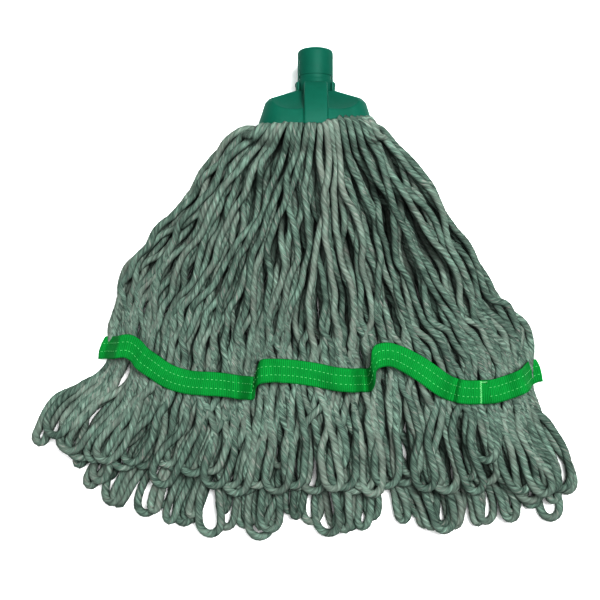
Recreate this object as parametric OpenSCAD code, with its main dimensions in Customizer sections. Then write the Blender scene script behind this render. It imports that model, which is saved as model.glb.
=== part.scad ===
// Looped-yarn string mop head lying on its back on a table.
// +Y runs from the looped ends of the yarn to the mouth of the handle socket, +Z is up from the
// table, and the origin is on the table under the middle of the whole mop head.
// Head pieces are drawn upright about their own axis, with the socket mouth at z = 0 and the
// front face towards -y, and are then laid down by lay_down().

/* [Overall] */
// Length of the mop head, from the socket mouth to the longest loop ends
overall_len = 404; // [380:1:420]
// Width across the spread looped ends
spread_w = 448; // [420:1:470]

/* [Handle sleeve] */
// Outer diameter of the sleeve that takes the handle
sleeve_d = 29.2; // [28.8:0.1:30.4]
// Bore for the handle tube
bore_d = 21.4; // [20.6:0.1:21.8]
// Depth of the handle bore
bore_depth = 43; // [40:1:46]
// Rounding of the sleeve's outer rim
rim_round = 3; // [1:0.5:3.5]

/* [Release tabs] */
// Length of each sprung tab
tab_len = 34; // [30:1:36]
// Inward travel of a tab at its free end
tab_travel = 1.3; // [0.8:0.1:1.4]
// Width of the catch on a tab
catch_w = 6; // [4:0.5:7]

/* [Head shell] */
// Width of the shell at its mouth
shell_w = 94; // [90:1:100]
// Depth of the shell at its mouth, front to back
shell_depth = 59; // [56:1:64]
// Height of the shell, from its shoulders to its mouth
shell_h = 31; // [29:1:34]
// Wall thickness
wall = 2.6; // [2:0.2:3]
// Width of the raised rib down the front and the back
rib_w = 18.4; // [14:0.2:22]

/* [Yarn] */
// Number of hanks side by side in each layer
hanks = 6; // [4:1:8]
// Thickness of the pile of yarn where the band is sewn on
pile_at_band = 31; // [24:1:36]
// Distance that the upper hanks end short of the lower ones
upper_short = 38; // [20:1:50]

/* [Tail band] */
// Width of the tape
tape_w = 20; // [16:1:24]
// Thickness of the tape
tape_t = 1; // [0.8:0.1:1.6]
// Distance between the two rows of stitching
row_gap = 7; // [5:0.5:9]

/* [Hidden] */

shell_green = [0.04, 0.42, 0.32];
sleeve_green = [0.04, 0.38, 0.29];
band_green = [0.04, 0.62, 0.25];
thread_green = [0.55, 0.85, 0.60];
yarn_grey = [0.47, 0.55, 0.50];
steel = [0.72, 0.73, 0.75];

round_fn = 96;
hull_fn = 32;
run_gap = 0.3;

// Heights along the head's own axis, measured down from the socket mouth
mouth_y = overall_len / 2;
rib_proud = 1;
axis_h = shell_depth / 2 + rib_proud;
sleeve_r = sleeve_d / 2;
bore_r = bore_d / 2;
sleeve_end = -(bore_depth + 3);
web_top = sleeve_end - 0.2;
shoulder_top = -35.3;
shell_end = shoulder_top - shell_h;
cavity_top = web_top - 3;
socket_r = sleeve_r + 0.35;
collar_r = socket_r + 1.9;
ear_top = shoulder_top + 8;
ear_half = 8;
rib_top = shoulder_top + 6;
groove_top = -22;
groove_h = 3.4;
groove_cut = 0.4;

// Release tabs: each is a slice off the side of the sleeve, hinged near the rim
tab_top = -7;
tab_end = tab_top - tab_len;
recess_x = bore_r + 1.2;
tab_in_x = recess_x + tab_travel + 0.1;
catch_top = ear_top - 3.4;
catch_h = 3;
catch_out = 1.25;
tab_w = 11.6;
recess_w = 12;

// Dished cuts on both sides of the rib: spheres whose lower edge is an arc on the front wall
dish_x = 17.3;
dish_z = -10.2;
dish_r = 44.4;
dish_proud = 30;
dish_ball = sqrt(dish_r * dish_r + dish_proud * dish_proud);

// Yarn
shell_mouth_y = mouth_y + shell_end;
yarn_y = shell_mouth_y - 0.3;
mouth_half = shell_w / 2 - wall - 1;
// How far the curves run past the rounded loop ends, along and across
loop_drop = 1.97;
loop_reach = 13;
lobe_gap = 0.25;
layer_gap = 0.4;
// The upper hanks are shorter, so they pass over a lower hank's earlier part
upper_share = 1 - upper_short / 270;
rings = 18;
facets = 14;
bar_r = 2.5;
bar_y = shell_mouth_y + 8;

// Tail band: a closed ring of tape round the flattened pile
band_y = -74;
band_rise = 0.0008;
band_lift = 0.6;
band_corner = 8;
band_half = spread_w / 2 - 19.5;
band_top = pile_at_band + 1.8;
thread_t = 0.4;
thread_w = 0.9;
tack_x = 139;
tack_len = 18;

module lay_down() {
    translate([0, mouth_y, axis_h]) rotate([-90, 0, 0]) children();
}

module rounded_slab(w, d, z, h, r) {
    for (sx = [-1, 1], sy = [-1, 1])
        translate([sx * (w / 2 - r), sy * (d / 2 - r), z])
            cylinder(r = r, h = h, $fn = hull_fn);
}

module shell_outline() {
    hull() {
        rounded_slab(2 * collar_r, 2 * collar_r, shoulder_top - 0.6, 0.6, 12);
        rounded_slab(shell_w - 17, shell_depth - 14, shoulder_top - 8.2, 0.6, 13);
        rounded_slab(shell_w - 11, shell_depth - 9, shoulder_top - 11.5, 0.6, 15);
        rounded_slab(shell_w - 3, shell_depth - 2, shoulder_top - 25, 0.6, 17);
        rounded_slab(shell_w, shell_depth, shell_end, 1.5, 18);
    }
}

module shell_cavity() {
    hull() {
        rounded_slab(shell_w - 24, shell_depth - 24, cavity_top - 0.6, 0.6, 10);
        rounded_slab(shell_w - 2 * wall, shell_depth - 2 * wall, shell_end - 1, 1, 15.5);
    }
}

// Raised rib on one face: its curved side outline, extruded across the rib's width
module rib_slice(width, inset) {
    top_d = sleeve_r + 3.2;
    steps = 14;
    rotate([90, 0, 90])
        linear_extrude(width, center = true)
            polygon(concat(
                [for (i = [0 : steps])
                    let (t = i / steps, bow = 1 - (1 - t) * (1 - t))
                    [inset - top_d - (axis_h - top_d) * pow(bow, 0.9),
                     rib_top + (shell_end - rib_top) * t]],
                [[-socket_r + 1, shell_end], [-socket_r + 1, rib_top]]
            ));
}

module rib() {
    rib_slice(rib_w, 0);
    translate([0, 0, -1.2]) intersection() {
        rib_slice(rib_w + 0.8, 0.7);
        translate([-50, -50, shell_end + 1.2]) cube([100, 100, 100]);
    }
}

module ears() {
    intersection() {
        translate([0, 0, shoulder_top - 4])
            cylinder(r = collar_r, h = ear_top - shoulder_top + 4, $fn = round_fn);
        translate([-50, -ear_half, shoulder_top - 4])
            cube([100, 2 * ear_half, ear_top - shoulder_top + 4]);
    }
}

module head_shell() {
    color(shell_green) lay_down() difference() {
        union() {
            difference() {
                shell_outline();
                for (side = [-1, 1], face = [-1, 1])
                    translate([side * dish_x, face * (shell_depth / 2 - 1.5 + dish_proud), dish_z])
                        sphere(r = dish_ball, $fn = round_fn);
            }
            ears();
            for (turn = [0, 180]) rotate([0, 0, turn]) rib();
        }
        translate([0, 0, web_top]) cylinder(r = socket_r, h = 60, $fn = round_fn);
        shell_cavity();
        for (side = [-1, 1])
            translate([side * (socket_r + 1) - 5, -catch_w / 2 - 0.5, catch_top - catch_h - 0.5])
                cube([10, catch_w + 1, catch_h + 1]);
        translate([0, 0, shell_end + 8]) rotate([0, 90, 0])
            cylinder(r = bar_r + 0.05, h = shell_w - 4, center = true, $fn = round_fn);
    }
}

module sleeve_profile() {
    difference() {
        union() {
            translate([0, sleeve_end]) square([sleeve_r, -sleeve_end - rim_round]);
            translate([0, -rim_round - 0.01]) square([sleeve_r - rim_round, rim_round + 0.01]);
            translate([sleeve_r - rim_round, -rim_round]) circle(r = rim_round, $fn = round_fn);
        }
        translate([0, -bore_depth]) square([bore_r, bore_depth + 1]);
        translate([sleeve_r - groove_cut, groove_top - groove_h]) square([2, groove_h]);
    }
}

module handle_sleeve() {
    color(sleeve_green) lay_down() difference() {
        rotate_extrude($fn = round_fn) sleeve_profile();
        for (side = [-1, 1])
            translate([side * (recess_x + 5) - 5, -recess_w / 2, sleeve_end - 1])
                cube([10, recess_w, tab_top + run_gap - sleeve_end + 1]);
    }
}

// One release tab, on the +x side of the sleeve, with its catch
module release_tab() {
    intersection() {
        translate([tab_in_x, -tab_w / 2, tab_end]) cube([12, tab_w, tab_len]);
        union() {
            translate([0, 0, tab_end]) cylinder(r = sleeve_r, h = tab_len, $fn = round_fn);
            translate([0, -catch_w / 2, catch_top - catch_h])
                cube([sleeve_r + catch_out, catch_w, catch_h]);
        }
    }
}

module release_tab_left() {
    color(sleeve_green) lay_down() mirror([1, 0, 0]) release_tab();
}

module release_tab_right() {
    color(sleeve_green) lay_down() release_tab();
}

module yarn_bar() {
    color(steel) translate([0, bar_y, axis_h]) rotate([0, 90, 0])
        cylinder(r = bar_r, h = shell_w - 5, center = true, $fn = round_fn);
}

// Flat ring with round corners, w across and d deep outside, t thick
module rounded_ring(w, d, z, h, r, t) {
    difference() {
        hull() rounded_slab(w, d, z, h, r);
        hull() rounded_slab(w - 2 * t, d - 2 * t, z - 1, h + 2, r - t);
    }
}

// Ring pressed into the shell's mouth, which holds the yarn against the bar
module retaining_insert() {
    color(sleeve_green) lay_down()
        rounded_ring(shell_w - 14, shell_depth - 14, shell_end + 0.5, 4, 12, 2.4);
}

// Folded middles of the hanks, packed in the shell above the insert and round the bar
module yarn_head() {
    color(yarn_grey) lay_down() difference() {
        hull() rounded_slab(shell_w - 28, shell_depth - 28, shell_end + 4.8, 9.5, 10);
        translate([0, 0, shell_end + 8]) rotate([0, 90, 0])
            cylinder(r = bar_r + 0.05, h = shell_w, center = true, $fn = round_fn);
    }
}

// Cord tied round the hanks just inside the mouth
module binding_cord() {
    color(thread_green) lay_down()
        rounded_ring(shell_w - 20, shell_depth - 20, shell_end + 1.5, 2, 10, 1.5);
}

// Plan of the yarn: u runs from -1 at the left edge to 1 at the right, s from 0 at the shell's
// mouth to 1 at the loop ends. Every hank lies between two of these curves, and the outermost
// ones leave the mouth nearly sideways.
function loop_end(u, short) = [
    u * (spread_w / 2 + loop_reach) * (1 - short / 430),
    -overall_len / 2 - loop_drop + short + 98 * pow(abs(u), 2.3)
];
function yarn_at(u, s, short) =
    let (
        a = [u * mouth_half, yarn_y],
        d = loop_end(u, short),
        b = a + [u * 62, -62 + 44 * pow(abs(u), 5)],
        c = d + [-u * 70, 98],
        k = 1 - s
    )
    k * k * k * a + 3 * k * k * s * b + 3 * k * s * s * c + s * s * s * d;

// Heights of the pile along the yarn: table side, the plane between the layers, and top
function blend(points, s, i = 0) =
    i == len(points) - 2 || s < points[i + 1][0]
    ? let (
        a = points[i],
        b = points[i + 1],
        t = min(1, max(0, (s - a[0]) / (b[0] - a[0]))),
        e = t * t * (3 - 2 * t)
    ) a[1] + (b[1] - a[1]) * e
    : blend(points, s, i + 1);
function pile_floor(s) = blend([[0, 6], [0.3, band_lift + tape_t + 0.6], [0.8, 1.9], [1, 0]], s);
function pile_middle(s) = blend([[0, axis_h], [0.6, pile_at_band / 2], [1, 11]], s);
function pile_top(s) =
    blend([[0, 2 * axis_h - 6], [0.12, 2 * axis_h - 5], [0.62, pile_at_band], [1, 23]], s);

// Share of a hank's full width and height at s: it closes to a rounded end
function end_round(s) = s < 0.9 ? 1 : sqrt(1 - 0.75 * pow((s - 0.9) / 0.1, 3));
function bulged(v) = sign(v) * pow(abs(v), 0.62);

function hank_ring(u, s, short, low, high) =
    let (
        step = 1 / hanks,
        left = yarn_at(u - step, s, short),
        right = yarn_at(u + step, s, short),
        middle = (left + right) / 2,
        span = norm(right - left),
        across = (right - left) / span,
        half = (span / 2 - lobe_gap) * end_round(s),
        tall = (high - low) / 2
    )
    [for (f = [0 : facets - 1])
        let (
            turn = 360 * f / facets,
            x = half * bulged(cos(turn)),
            z = tall * (0.35 + 0.65 * end_round(s)) * bulged(sin(turn))
        )
        [middle[0] + across[0] * x, middle[1] + across[1] * x,
         low + tall * (0.35 + 0.65 * end_round(s)) + z]
    ];

// Joins rings of points into one closed solid with flat ends
module skin(points, n) {
    count = len(points) / n;
    faces = concat(
        [[for (f = [0 : n - 1]) f]],
        [for (r = [0 : count - 2], f = [0 : n - 1])
            [r * n + f, (r + 1) * n + f, (r + 1) * n + (f + 1) % n]],
        [for (r = [0 : count - 2], f = [0 : n - 1])
            [r * n + f, (r + 1) * n + (f + 1) % n, r * n + (f + 1) % n]],
        [[for (f = [n - 1 : -1 : 0]) (count - 1) * n + f]]
    );
    polyhedron(points, faces);
}

module upper_hank(number) {
    u = (2 * number - 1) / hanks - 1;
    color(yarn_grey) skin([
        for (r = [0 : rings], p = hank_ring(u, r / rings, upper_short,
            pile_middle(upper_share * r / rings) + layer_gap, pile_top(r / rings))) p
    ], facets);
}

module lower_hank(number) {
    u = (2 * number - 1) / hanks - 1;
    color(yarn_grey) skin([
        for (r = [0 : rings], p = hank_ring(u, r / rings, 0,
            pile_floor(r / rings), pile_middle(r / rings))) p
    ], facets);
}

// Outline of the tape ring, seen from the loop ends: a flat box with round corners
function corner(cx, cz, from, steps) = [
    for (i = [0 : steps])
        let (a = from + 90 * i / steps)
        [cx + band_corner * cos(a), cz + band_corner * sin(a), cos(a), sin(a)]
];
function flat_run(x0, x1, z, nz, steps) =
    [for (i = [1 : steps - 1]) [x0 + (x1 - x0) * i / steps, z, 0, nz]];
function band_outline() =
    let (
        low = band_lift + band_corner + tape_t,
        high = band_top - band_corner,
        in_x = band_half - band_corner
    )
    concat(
        corner(in_x, low, 270, 5), corner(in_x, high, 0, 5),
        flat_run(in_x, -in_x, high + band_corner, 1, 14),
        corner(-in_x, high, 90, 5), corner(-in_x, low, 180, 5),
        flat_run(-in_x, in_x, low - band_corner, -1, 14)
    );
function band_line(x) = band_y + band_rise * x * x;

// A ring of rectangular section that follows the tape: shift is across the tape, from off to
// off + thick is outwards from its inner face
module tape_ring(shift, width, off, thick) {
    outline = band_outline();
    count = len(outline);
    points = [
        for (o = outline, c = [[off, -1], [off + thick, -1], [off + thick, 1], [off, 1]])
            [o[0] + o[2] * c[0], band_line(o[0]) + shift + c[1] * width / 2, o[1] + o[3] * c[0]]
    ];
    faces = [
        for (r = [0 : count - 1], f = [0 : 3])
            let (a = r * 4, b = ((r + 1) % count) * 4, g = (f + 1) % 4)
            each [[a + f, b + g, b + f], [a + f, a + g, b + g]]
    ];
    polyhedron(points, faces);
}

module tail_band() {
    color(band_green) tape_ring(0, tape_w, 0, tape_t);
}

module stitch_row(side) {
    color(thread_green) tape_ring(side * row_gap / 2, thread_w, tape_t + 0.02, thread_t);
}

// Close zigzag stitches that hold the tape's lapped end; those that cross a row lie over it
module bar_tack() {
    rows = 9;
    pitch = tack_len / rows;
    color(thread_green)
        for (i = [0 : rows - 1])
            let (
                low = -tack_len / 2 + pitch * i,
                away = abs(abs(low + pitch * 0.3) - row_gap / 2),
                lift = away < pitch * 0.3 + thread_w / 2 + 0.1 ? thread_t + 0.05 : 0
            )
            translate([tack_x, band_line(tack_x) + low, band_top + tape_t + 0.05 + lift])
                cube([1.6, pitch * 0.6, thread_t]);
}

head_shell();
handle_sleeve();
release_tab_left();
release_tab_right();
yarn_bar();
retaining_insert();
yarn_head();
binding_cord();
upper_hank(1);  // upper_hank_1
upper_hank(2);  // upper_hank_2
upper_hank(3);  // upper_hank_3
upper_hank(4);  // upper_hank_4
upper_hank(5);  // upper_hank_5
upper_hank(6);  // upper_hank_6
lower_hank(1);  // lower_hank_1
lower_hank(2);  // lower_hank_2
lower_hank(3);  // lower_hank_3
lower_hank(4);  // lower_hank_4
lower_hank(5);  // lower_hank_5
lower_hank(6);  // lower_hank_6
tail_band();
stitch_row(1);  // stitch_row_upper
stitch_row(-1);  // stitch_row_lower
bar_tack();
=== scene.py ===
"""String mop head lying on its back on a table, with its looped yarn fanned out.

Everything is in metres in the part's own frame: +X across the fan, +Y from the loop ends to the
mouth of the handle socket, +Z up from the table.
"""

import logging
import math
from dataclasses import dataclass, field
from enum import Enum

import bmesh
import bpy
import numpy as np
from mathutils import Matrix, Vector


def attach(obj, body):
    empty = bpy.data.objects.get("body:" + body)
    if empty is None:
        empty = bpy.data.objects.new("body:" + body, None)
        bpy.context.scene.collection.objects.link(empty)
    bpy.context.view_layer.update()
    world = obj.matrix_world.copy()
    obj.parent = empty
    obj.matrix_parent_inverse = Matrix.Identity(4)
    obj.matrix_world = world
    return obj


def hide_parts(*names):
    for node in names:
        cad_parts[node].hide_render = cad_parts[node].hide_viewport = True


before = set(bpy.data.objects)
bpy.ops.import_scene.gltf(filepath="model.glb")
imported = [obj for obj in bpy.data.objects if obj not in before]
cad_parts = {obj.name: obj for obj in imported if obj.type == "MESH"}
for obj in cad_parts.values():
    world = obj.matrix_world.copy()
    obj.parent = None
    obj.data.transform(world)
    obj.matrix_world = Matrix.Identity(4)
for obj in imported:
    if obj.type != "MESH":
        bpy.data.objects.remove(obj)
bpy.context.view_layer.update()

LOG = logging.getLogger("mop")
SEED = 20713


class Slot(Enum):
    """The record's material slots."""

    SHELL = "shell_plastic"
    SLEEVE = "sleeve_plastic"
    YARN = "yarn"
    TAPE = "tape"
    THREAD = "thread"


# ---------------------------------------------------------------------------
# Small helpers
# ---------------------------------------------------------------------------


def smooth_step(value: np.ndarray | float) -> np.ndarray:
    """Ease from 0 to 1 as value goes from 0 to 1, flat at both ends.

    Args:
        value: Any numbers; those outside 0 to 1 are held at the nearer end.

    Returns:
        The eased numbers.
    """
    held = np.clip(value, 0.0, 1.0)
    return held * held * (3.0 - 2.0 * held)


def arc_lengths(points: np.ndarray) -> np.ndarray:
    """Distance along a line of points, from its start.

    Args:
        points: Rows of coordinates.

    Returns:
        One distance per point, in metres.
    """
    steps = np.linalg.norm(np.diff(points, axis=0), axis=1)
    return np.concatenate([[0.0], np.cumsum(steps)])


def respaced(points: np.ndarray, spacing: float) -> np.ndarray:
    """Points at even distances along the same line.

    Args:
        points: Rows of coordinates.
        spacing: Wanted distance between points, in metres.

    Returns:
        The new rows, from the first point to the last.
    """
    along = arc_lengths(points)
    count = max(4, int(round(along[-1] / spacing)) + 1)
    wanted = np.linspace(0.0, along[-1], count)
    return np.stack([np.interp(wanted, along, column) for column in points.T], axis=1)


def blurred(values: np.ndarray, passes: int) -> np.ndarray:
    """Smooth a row of numbers with a short kernel, keeping its two ends.

    Args:
        values: Numbers at even distances.
        passes: How many times to smooth.

    Returns:
        The smoothed numbers.
    """
    out = values.copy()
    for _ in range(passes):
        out[1:-1] = 0.25 * out[:-2] + 0.5 * out[1:-1] + 0.25 * out[2:]
    return out


def spline_through(knots: list[tuple[float, ...]], count: int) -> np.ndarray:
    """A smooth line through given knots (centripetal Catmull-Rom).

    Args:
        knots: The points to pass through.
        count: How many points to return.

    Returns:
        Rows of coordinates.
    """
    pts = np.array(knots, dtype=float)
    pts = np.vstack([2 * pts[0] - pts[1], pts, 2 * pts[-1] - pts[-2]])
    out = []
    per_span = max(4, count // (len(knots) - 1))
    for i in range(1, len(pts) - 2):
        p0, p1, p2, p3 = pts[i - 1 : i + 3]
        t0 = 0.0
        t1 = t0 + max(1e-9, np.linalg.norm(p1 - p0)) ** 0.5
        t2 = t1 + max(1e-9, np.linalg.norm(p2 - p1)) ** 0.5
        t3 = t2 + max(1e-9, np.linalg.norm(p3 - p2)) ** 0.5
        for t in np.linspace(t1, t2, per_span, endpoint=False):
            a1 = (t1 - t) / (t1 - t0) * p0 + (t - t0) / (t1 - t0) * p1
            a2 = (t2 - t) / (t2 - t1) * p1 + (t - t1) / (t2 - t1) * p2
            a3 = (t3 - t) / (t3 - t2) * p2 + (t - t2) / (t3 - t2) * p3
            b1 = (t2 - t) / (t2 - t0) * a1 + (t - t0) / (t2 - t0) * a2
            b2 = (t3 - t) / (t3 - t1) * a2 + (t - t1) / (t3 - t1) * a3
            out.append((t2 - t) / (t2 - t1) * b1 + (t - t1) / (t2 - t1) * b2)
    out.append(pts[-2])
    return np.array(out)


def new_object(name: str, mesh: bpy.types.Mesh) -> bpy.types.Object:
    """Link a mesh into the scene as an object at the origin.

    Args:
        name: Name of the piece.
        mesh: Its mesh.

    Returns:
        The object.
    """
    piece = bpy.data.objects.new(name, mesh)
    bpy.context.scene.collection.objects.link(piece)
    return piece


def shade_smooth(mesh: bpy.types.Mesh) -> None:
    """Shade every face of a mesh smooth."""
    mesh.polygons.foreach_set("use_smooth", [True] * len(mesh.polygons))


def meshed(bm: bmesh.types.BMesh, name: str) -> bpy.types.Mesh:
    """Turn a bmesh into a new mesh and free it.

    Args:
        bm: The bmesh.
        name: Name of the mesh.

    Returns:
        The mesh.
    """
    mesh = bpy.data.meshes.new(name)
    bm.to_mesh(mesh)
    bm.free()
    return mesh


def coat(piece: bpy.types.Object, material: bpy.types.Material) -> None:
    """Give a piece its only material."""
    piece.data.materials.clear()
    piece.data.materials.append(material)


def dress(piece: bpy.types.Object, material: bpy.types.Material) -> None:
    """Give a piece its material.

    Args:
        piece: The piece.
        material: Its material.
    """
    coat(piece, material)


# ---------------------------------------------------------------------------
# Finishes
# ---------------------------------------------------------------------------


class Shader:
    """A material's node tree, with short calls for the nodes used here."""

    def __init__(self, name: str) -> None:
        """Start a material with one Principled shader.

        Args:
            name: Name of the material.
        """
        self.material = bpy.data.materials.new(name)
        self.material.use_nodes = True
        self.tree = self.material.node_tree
        self.principled = self.tree.nodes["Principled BSDF"]

    def node(self, kind: str, **settings: object) -> bpy.types.Node:
        """Add a node and set its properties.

        Args:
            kind: Blender's name of the node type.
            settings: Properties to set on it.

        Returns:
            The node.
        """
        made = self.tree.nodes.new(kind)
        for key, value in settings.items():
            setattr(made, key, value)
        return made

    def feed(
        self, socket: bpy.types.NodeSocket,
        value: bpy.types.NodeSocket | tuple[float, float, float] | float,
    ) -> None:
        """Link an input to an output, or set it to a colour or a number.

        Args:
            socket: The input.
            value: What it takes.
        """
        if isinstance(value, bpy.types.NodeSocket):
            self.tree.links.new(value, socket)
        elif isinstance(value, tuple):
            socket.default_value = (*value, 1.0)
        else:
            socket.default_value = value

    def noise(
        self,
        vector: bpy.types.NodeSocket,
        scale: float,
        detail: float = 3.0,
        roughness: float = 0.55,
    ) -> bpy.types.NodeSocket:
        """Add a noise pattern.

        Args:
            vector: Coordinates that it reads.
            scale: Its scale.
            detail: Octaves.
            roughness: How strong the fine octaves are.

        Returns:
            The pattern's value.
        """
        made = self.node("ShaderNodeTexNoise")
        made.inputs["Scale"].default_value = scale
        made.inputs["Detail"].default_value = detail
        made.inputs["Roughness"].default_value = roughness
        self.feed(made.inputs["Vector"], vector)
        return made.outputs["Fac"]

    def ramp(
        self,
        value: bpy.types.NodeSocket,
        stops: list[tuple[float, tuple[float, float, float]]],
    ) -> bpy.types.NodeSocket:
        """Turn a value into a colour.

        Args:
            value: The value.
            stops: Places from 0 to 1 and their colours.

        Returns:
            The colour.
        """
        made = self.node("ShaderNodeValToRGB")
        elements = made.color_ramp.elements
        while len(elements) < len(stops):
            elements.new(0.5)
        for element, (place, colour) in zip(elements, stops):
            element.position = place
            element.color = (*colour, 1.0)
        self.feed(made.inputs["Fac"], value)
        return made.outputs["Color"]

    def mix(
        self,
        share: bpy.types.NodeSocket | float,
        first: bpy.types.NodeSocket | tuple[float, float, float],
        second: bpy.types.NodeSocket | tuple[float, float, float],
        blend: str = "MIX",
    ) -> bpy.types.NodeSocket:
        """Mix two colours.

        Args:
            share: How much of the second.
            first: A colour.
            second: A colour.
            blend: Blend mode.

        Returns:
            The mixed colour.
        """
        made = self.node("ShaderNodeMix", data_type="RGBA", blend_type=blend)
        for socket, value in (("Factor", share), (6, first), (7, second)):
            self.feed(made.inputs[socket], value)
        return made.outputs[2]

    def maths(
        self, operation: str, first: bpy.types.NodeSocket | float,
        second: bpy.types.NodeSocket | float = 0.0, third: float = 0.0,
    ) -> bpy.types.NodeSocket:
        """Add a maths node.

        Args:
            operation: Its operation.
            first: First value.
            second: Second value.
            third: What a multiply-and-add adds.

        Returns:
            The result.
        """
        made = self.node("ShaderNodeMath", operation=operation)
        for socket, value in zip(made.inputs, (first, second, third)):
            self.feed(socket, value)
        return made.outputs[0]

    def remap(
        self, value: bpy.types.NodeSocket, low: float, high: float, to_low: float, to_high: float
    ) -> bpy.types.NodeSocket:
        """Map a value from one range to another, held at the ends.

        Args:
            value: The value.
            low: Start of its range.
            high: End of its range.
            to_low: Result at the start.
            to_high: Result at the end.

        Returns:
            The mapped value.
        """
        made = self.node("ShaderNodeMapRange")
        for name, number in (
            ("From Min", low), ("From Max", high), ("To Min", to_low), ("To Max", to_high),
        ):
            made.inputs[name].default_value = number
        self.feed(made.inputs["Value"], value)
        return made.outputs["Result"]

    def attribute(self, name: str, output: str) -> bpy.types.NodeSocket:
        """Read a mesh attribute.

        Args:
            name: The attribute.
            output: "Vector", "Fac" or "Color".

        Returns:
            Its value.
        """
        return self.node("ShaderNodeAttribute", attribute_name=name).outputs[output]

    def bump(
        self, height: bpy.types.NodeSocket, strength: float, distance: float,
        below: bpy.types.NodeSocket | None = None,
    ) -> bpy.types.NodeSocket:
        """Turn a height pattern into a normal.

        Args:
            height: The pattern.
            strength: From 0 to 1.
            distance: Height of the pattern, in metres.
            below: A normal that it adds to.

        Returns:
            The normal.
        """
        made = self.node("ShaderNodeBump")
        made.inputs["Strength"].default_value = strength
        made.inputs["Distance"].default_value = distance
        self.feed(made.inputs["Height"], height)
        if below is not None:
            self.feed(made.inputs["Normal"], below)
        return made.outputs["Normal"]

    def object_place(self) -> bpy.types.NodeSocket:
        """Object coordinates, in metres."""
        return self.node("ShaderNodeTexCoord").outputs["Object"]

    def set(self, **values: object) -> None:
        """Set or link the Principled shader's sockets; an underscore in a name is a space.

        Args:
            values: A number, a colour or a socket for each.
        """
        for key, value in values.items():
            self.feed(self.principled.inputs[key.replace("_", " ")], value)


class Finish:
    """A named finish; each kind lays its own nodes."""

    name: str

    def build(self) -> bpy.types.Material:
        """Make the material.

        Returns:
            The material.
        """
        sh = Shader(self.name)
        self.lay_nodes(sh)
        return sh.material

    def lay_nodes(self, sh: Shader) -> None:
        """Lay the finish's own nodes.

        Args:
            sh: The shader to lay them in.
        """
        raise NotImplementedError


@dataclass(frozen=True)
class MouldedPlastic(Finish):
    """Satin moulded plastic with a faint flow pattern and a fine grain."""

    name: str
    colour: tuple[float, float, float]
    deep: tuple[float, float, float]
    roughness: float = 0.52

    def lay_nodes(self, sh: Shader) -> None:
        """Lay the flow pattern, scuffs and grain."""
        place = sh.object_place()
        flow = sh.noise(place, 34.0, 4.0, 0.6)
        cloud = sh.noise(place, 150.0, 3.0, 0.5)
        tone = sh.mix(sh.remap(flow, 0.3, 0.7, 0.0, 1.0), self.deep, self.colour)
        tone = sh.mix(sh.remap(cloud, 0.35, 0.75, 0.0, 0.25), tone, self.colour)
        scuff = sh.noise(place, 420.0, 2.0, 0.6)
        rough = sh.maths(
            "ADD",
            sh.remap(flow, 0.25, 0.75, self.roughness - 0.06, self.roughness + 0.08),
            sh.remap(scuff, 0.6, 0.8, 0.0, 0.1),
        )
        grain = sh.noise(place, 2600.0, 2.0, 0.5)
        waves = sh.noise(place, 90.0, 2.0, 0.5)
        normal = sh.bump(waves, 0.25, 0.0006)
        normal = sh.bump(grain, 0.22, 0.00006, normal)
        sh.set(Base_Color=tone, Roughness=rough, Normal=normal, Specular_IOR_Level=0.22)


@dataclass(frozen=True)
class PliedYarn(Finish):
    """Heathered plied yarn: fibres that follow the twist, with painted shade in the grooves between
    the plies.
    """

    name: str = "plied_yarn"
    light: tuple[float, float, float] = (0.265, 0.355, 0.306)
    middle: tuple[float, float, float] = (0.140, 0.196, 0.167)
    dark: tuple[float, float, float] = (0.046, 0.072, 0.060)
    fleck: tuple[float, float, float] = (0.32, 0.30, 0.285)
    warm: tuple[float, float, float] = (0.178, 0.190, 0.172)

    def lay_nodes(self, sh: Shader) -> None:
        """Lay heather along the fibres, with painted shade between the plies and a little painted
        light on their crowns.
        """
        fibre = sh.attribute("fibre", "Vector")
        tone = sh.attribute("tone", "Fac")
        ply_shading = sh.attribute("ply_shading", "Fac")
        stretch = sh.node("ShaderNodeMapping")
        stretch.inputs["Scale"].default_value = (0.16, 1.0, 1.0)
        sh.feed(stretch.inputs["Vector"], fibre)
        hairs = sh.noise(stretch.outputs["Vector"], 1500.0, 3.0, 0.65)
        heather = sh.noise(stretch.outputs["Vector"], 520.0, 3.0, 0.6)
        cloudy = sh.noise(fibre, 60.0, 2.0, 0.5)
        spots = sh.noise(stretch.outputs["Vector"], 800.0, 2.0, 0.5)
        colour = sh.ramp(
            sh.maths("ADD", sh.maths("MULTIPLY", heather, 0.6), sh.maths("MULTIPLY", hairs, 0.4)),
            [(0.34, self.dark), (0.50, self.middle), (0.68, self.light)],
        )
        colour = sh.mix(sh.remap(spots, 0.60, 0.70, 0.0, 0.75), colour, self.fleck)
        warmth = sh.maths("ADD", sh.maths("MULTIPLY", tone, 0.22), sh.noise(fibre, 38.0, 3.0, 0.6))
        colour = sh.mix(sh.remap(warmth, 0.45, 0.85, 0.0, 0.7), colour, self.warm)
        # Painted shade: the yarn is darkened in the grooves between the plies and lightened a
        # little on their crowns; the random cloud and each strand's tone scale it too.
        ply_shading_and_tone = sh.maths(
            "MULTIPLY",
            sh.remap(ply_shading, 0.0, 1.0, 0.82, 1.05),
            sh.maths("ADD", sh.remap(cloudy, 0.3, 0.7, 0.88, 1.08),
                     sh.maths("MULTIPLY", tone, 0.2)),
        )
        grey = sh.node("ShaderNodeCombineColor")
        for channel in grey.inputs:
            sh.feed(channel, ply_shading_and_tone)
        colour = sh.mix(1.0, colour, grey.outputs[0], "MULTIPLY")
        normal = sh.bump(hairs, 0.7, 0.00035)
        sh.set(Base_Color=colour, Roughness=0.92, Normal=normal, Specular_IOR_Level=0.08)


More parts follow.
